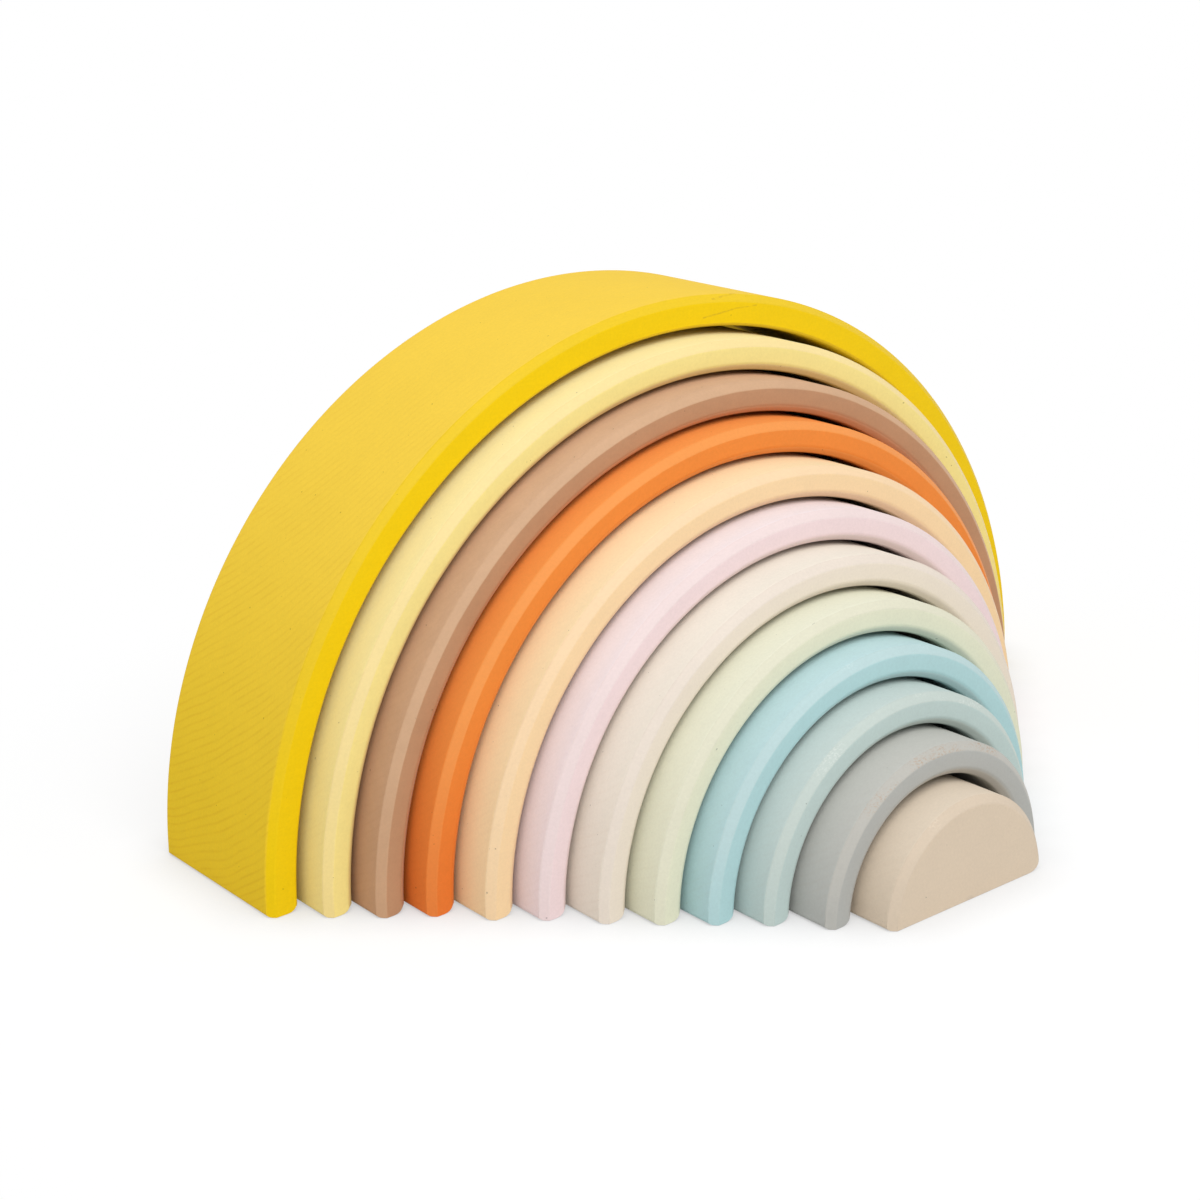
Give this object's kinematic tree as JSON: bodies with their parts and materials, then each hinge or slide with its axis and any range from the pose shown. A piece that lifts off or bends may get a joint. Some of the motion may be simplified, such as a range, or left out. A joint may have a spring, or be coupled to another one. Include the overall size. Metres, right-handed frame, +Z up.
{
  "type": "rainbow stacker",
  "caption": "Free-standing rainbow stacker of painted wood: bevelled half-ring arches that nest in one another around a solid half disc, drawn out in a stepped row.",
  "frame": {"origin": "on the floor, at the middle of the whole row's box, with the pieces drawn out as in the picture", "axes": "+X across the span of the arches, +Y to the back, so the half disc is towards -Y, and +Z up"},
  "size_m": [0.3592, 0.2118, 0.1784],
  "materials": {
    "yellow_paint": "matt water-based paint over wood, thinner on the bevels",
    "straw_paint": "matt water-based paint over wood, thinner on the bevels",
    "tan_paint": "matt water-based paint over wood, thinner on the bevels",
    "orange_paint": "matt water-based paint over wood, thinner on the bevels",
    "peach_paint": "matt water-based paint over wood, thinner on the bevels",
    "pink_paint": "matt water-based paint over wood, thinner on the bevels",
    "cream_paint": "matt water-based paint over wood, thinner on the bevels",
    "green_paint": "matt water-based paint over wood, thinner on the bevels",
    "blue_paint": "matt water-based paint over wood, thinner on the bevels",
    "mint_paint": "matt water-based paint over wood, thinner on the bevels",
    "grey_paint": "matt water-based paint over wood, thinner on the bevels",
    "sand_paint": "matt water-based paint over wood, thinner on the bevels"
  },
  "bodies": {
    "yellow_arch": {"arch_01_yellow": "yellow_paint"},
    "straw_arch": {"arch_02_straw": "straw_paint"},
    "tan_arch": {"arch_03_tan": "tan_paint"},
    "orange_arch": {"arch_04_orange": "orange_paint"},
    "peach_arch": {"arch_05_peach": "peach_paint"},
    "pink_arch": {"arch_06_pink": "pink_paint"},
    "cream_arch": {"arch_07_cream": "cream_paint"},
    "green_arch": {"arch_08_green": "green_paint"},
    "blue_arch": {"arch_09_blue": "blue_paint"},
    "mint_arch": {"arch_10_mint": "mint_paint"},
    "grey_arch": {"arch_11_grey": "grey_paint"},
    "sand_half_disc": {"half_disc_sand": "sand_paint"}
  },
  "joints": [
    {"name": "straw_slide", "type": "slide", "parent": "yellow_arch", "child": "straw_arch", "axis": [0, -1, 0], "range_m": [-0.01264, 0.05736]},
    {"name": "tan_slide", "type": "slide", "parent": "yellow_arch", "child": "tan_arch", "axis": [0, -1, 0], "range_m": [-0.02451, 0.05813]},
    {"name": "orange_slide", "type": "slide", "parent": "yellow_arch", "child": "orange_arch", "axis": [0, -1, 0], "range_m": [-0.03483, 0.05968]},
    {"name": "peach_slide", "type": "slide", "parent": "yellow_arch", "child": "peach_arch", "axis": [0, -1, 0], "range_m": [-0.04979, 0.05504]},
    {"name": "pink_slide", "type": "slide", "parent": "yellow_arch", "child": "pink_arch", "axis": [0, -1, 0], "range_m": [-0.06166, 0.05813]},
    {"name": "cream_slide", "type": "slide", "parent": "yellow_arch", "child": "cream_arch", "axis": [0, -1, 0], "range_m": [-0.0765, 0.05516]},
    {"name": "green_slide", "type": "slide", "parent": "yellow_arch", "child": "green_arch", "axis": [0, -1, 0], "range_m": [-0.08914, 0.05736]},
    {"name": "blue_slide", "type": "slide", "parent": "yellow_arch", "child": "blue_arch", "axis": [0, -1, 0], "range_m": [-0.10088, 0.05826]},
    {"name": "mint_slide", "type": "slide", "parent": "yellow_arch", "child": "mint_arch", "axis": [0, -1, 0], "range_m": [-0.11313, 0.05775]},
    {"name": "grey_slide", "type": "slide", "parent": "yellow_arch", "child": "grey_arch", "axis": [0, -1, 0], "range_m": [-0.1281, 0.05504]},
    {"name": "sand_slide", "type": "slide", "parent": "yellow_arch", "child": "sand_half_disc", "axis": [0, -1, 0], "range_m": [-0.1419, 0.0562]}
  ]
}
